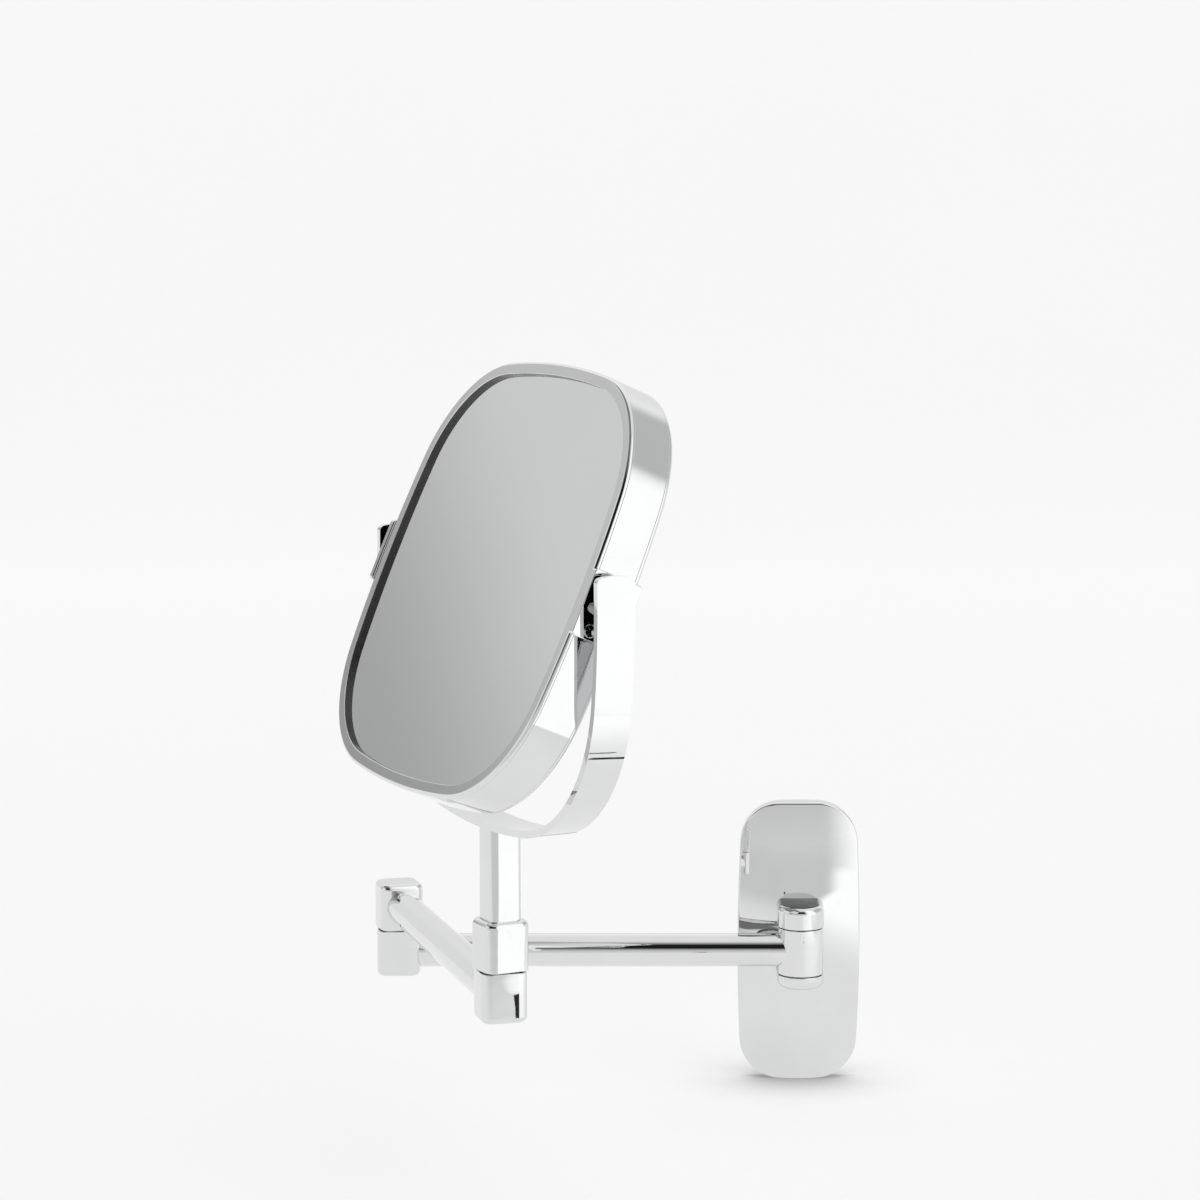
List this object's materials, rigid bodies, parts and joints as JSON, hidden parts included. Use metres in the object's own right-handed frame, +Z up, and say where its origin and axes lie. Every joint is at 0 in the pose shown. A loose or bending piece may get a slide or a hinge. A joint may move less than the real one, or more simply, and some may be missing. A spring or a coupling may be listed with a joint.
{
  "type": "extendable shaving mirror",
  "caption": "Wall-mounted two-arm mirror: a domed plate, swivelling tube arms, and a soft-square two-sided mirror that tilts in a U-shaped yoke.",
  "frame": {"origin": "centre of the wall plate's back, on the wall, at the level of the inner arm", "axes": "+Z up, +Y into the wall, the mirror reaches out along -Y, +X to the right as seen from the room"},
  "size_m": [0.2406, 0.3107, 0.3606],
  "materials": {
    "chrome": "bright polished chrome plating",
    "steel": "bright zinc-plated or bare steel, turned or pressed",
    "nylon": "natural nylon",
    "plain_mirror": "flat silvered glass",
    "magnifying_mirror": "concave silvered glass",
    "foam": "matt closed-cell foam sheet",
    "core_plastic": "moulded, fine grain",
    "zinc": "die-cast zinc, as cast"
  },
  "bodies": {
    "wall_plate": {"wall_plate_cover": "chrome", "hinge_bracket": "chrome", "hinge_bracket_screws": "steel", "wall_pin": "steel", "wall_pin_cap": "chrome", "wall_bracket": "steel", "cover_grub_screw": "steel"},
    "inner_arm": {"inner_arm_wall_barrel": "chrome", "wall_hinge_bushes": "nylon", "inner_arm_tube": "chrome", "inner_arm_elbow_barrel": "chrome", "elbow_bush": "nylon", "elbow_cap": "chrome"},
    "outer_arm": {"outer_arm_elbow_barrel": "chrome", "elbow_bolt": "steel", "elbow_disc_springs": "steel", "outer_arm_tube": "chrome", "outer_arm_knuckle_barrel": "chrome", "knuckle_bush": "nylon", "knuckle_cap": "chrome"},
    "yoke": {"swivel_barrel": "chrome", "knuckle_bolt": "steel", "knuckle_disc_springs": "steel", "yoke_strap": "chrome", "post": "chrome", "post_stud": "steel", "pivot_studs": "chrome", "stud_clips": "steel"},
    "mirror_head": {"front_bezel": "chrome", "back_bezel": "chrome", "case_band": "chrome", "plain_glass": "plain_mirror", "front_gasket": "foam", "magnifying_glass": "magnifying_mirror", "core_frame": "core_plastic", "pivot_blocks": "zinc", "pivot_pads": "chrome", "pad_screws": "chrome", "pivot_bushes": "nylon"}
  },
  "joints": [
    {"name": "wall_hinge", "type": "hinge", "parent": "wall_plate", "child": "inner_arm", "pos_m": [0, -0.027, 0], "axis": [0, 0, 1], "range_deg": [-4, 184]},
    {"name": "elbow", "type": "hinge", "parent": "inner_arm", "child": "outer_arm", "pos_m": [-0.192, -0.027, 0.0224], "axis": [0, 0, 1], "range_deg": [-265, 53]},
    {"name": "swivel", "type": "hinge", "parent": "outer_arm", "child": "yoke", "pos_m": [-0.13876, -0.21147, 0.0448], "axis": [0, 0, 1], "continuous": true},
    {"name": "tilt", "type": "hinge", "parent": "yoke", "child": "mirror_head", "pos_m": [-0.13876, -0.21147, 0.2008], "axis": [0.4594, -0.8882, 0], "continuous": true}
  ]
}
